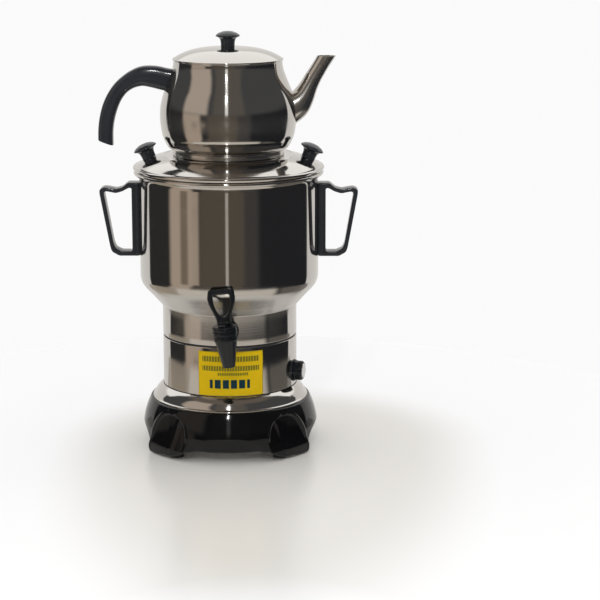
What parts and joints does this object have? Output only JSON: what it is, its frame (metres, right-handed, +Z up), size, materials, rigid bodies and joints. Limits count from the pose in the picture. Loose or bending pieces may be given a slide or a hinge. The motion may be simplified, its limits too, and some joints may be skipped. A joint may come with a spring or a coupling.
{
  "type": "electric samovar",
  "caption": "Electric samovar: stepped steel boiler on a black base with a lever tap, a heat knob and side handles, and a teapot that sits on the boiler's lid.",
  "frame": {"origin": "on the boiler's vertical axis, at table level under the rubber feet", "axes": "+Z up; -Y towards the user, the side with the tap; +X towards the teapot's spout"},
  "size_m": [0.3062, 0.241, 0.4961],
  "materials": {
    "black_base": "glossy black moulding",
    "black_grip": "black phenolic, satin gloss",
    "polished_steel": "mirror-polished stainless steel",
    "zinc_steel": "bright zinc-plated steel",
    "element_steel": "dull steel sheath",
    "black_rubber": "matt black rubber",
    "red_rubber": "red-brown silicone",
    "brass": "plain turned brass",
    "wire_jacket": "woven jacket, brick red",
    "cream_ceramic": "glazed cream ceramic",
    "yellow_label": "yellow printed film, glossy",
    "silver_cap": "bright spun aluminium"
  },
  "bodies": {
    "samovar": {"base_shell": "black_base", "rubber_feet": "black_rubber", "bottom_plate": "zinc_steel", "bottom_screws": "zinc_steel", "skirt_ring": "polished_steel", "housing": "polished_steel", "label_plate": "yellow_label", "seam_seal": "black_rubber", "tie_rods": "zinc_steel", "tie_nuts": "zinc_steel", "boiler_neck": "polished_steel", "boiler_drum": "polished_steel", "heating_element": "element_steel", "element_seals": "red_rubber", "element_nuts": "brass", "dry_boil_cutout": "cream_ceramic", "thermostat": "cream_ceramic", "thermostat_screws": "zinc_steel", "dial_bezel": "black_grip", "power_inlet": "black_grip", "inlet_pins": "brass", "inlet_screws": "zinc_steel", "inner_wires": "wire_jacket", "side_handle_left": "black_grip", "side_handle_right": "black_grip", "handle_screws": "zinc_steel", "handle_seals": "black_rubber", "tap_body": "black_grip", "tap_bonnet": "black_grip", "tap_seals": "black_rubber", "tap_nut": "brass", "tap_spring": "zinc_steel"},
    "heat_control": {"spindle": "polished_steel", "heat_knob": "black_grip", "knob_insert": "silver_cap"},
    "tap_stem": {"tap_rod": "polished_steel", "tap_cup": "red_rubber", "tap_pin": "polished_steel"},
    "tap_handle": {"tap_lever": "black_grip"},
    "lid": {"boiler_lid": "polished_steel", "lid_knob_left": "black_grip", "lid_knob_right": "black_grip", "lid_knob_screws": "zinc_steel"},
    "teapot": {"teapot_body": "polished_steel", "teapot_disc": "polished_steel", "teapot_spout": "polished_steel", "teapot_handle": "black_grip", "handle_stud": "polished_steel"},
    "pot_cover": {"teapot_lid": "polished_steel", "teapot_lid_band": "polished_steel", "teapot_lid_knob": "black_grip", "teapot_lid_screw": "zinc_steel"}
  },
  "joints": [
    {"name": "lid_lift", "type": "slide", "parent": "samovar", "child": "lid", "axis": [0, 0, 1], "range_m": [0, 0.15]},
    {"name": "teapot_lift", "type": "slide", "parent": "lid", "child": "teapot", "axis": [0, 0, 1], "range_m": [0, 0.15]},
    {"name": "pot_cover_lift", "type": "slide", "parent": "teapot", "child": "pot_cover", "axis": [0, 0, 1], "range_m": [0, 0.1]},
    {"name": "heat_turn", "type": "hinge", "parent": "samovar", "child": "heat_control", "pos_m": [0, 0, 0.094], "axis": [0.9659, -0.2588, 0], "range_deg": [0, 270]},
    {"name": "tap_stem_lift", "type": "slide", "parent": "samovar", "child": "tap_stem", "axis": [-0.1045, 0, 0.9945], "range_m": [0, 0.003], "deforming": ["tap_spring"]},
    {"name": "tap_pull", "type": "hinge", "parent": "tap_stem", "child": "tap_handle", "pos_m": [-0.00182, -0.1125, 0.1729], "axis": [0.9945, 0, 0.1045], "range_deg": [0, 35], "stiffness_Nm_per_rad": 0.1, "springref_deg": -5.73}
  ],
  "couplings": [
    {"joint": "tap_pull", "follows": "tap_stem_lift", "rad_per_m": 203.6}
  ]
}
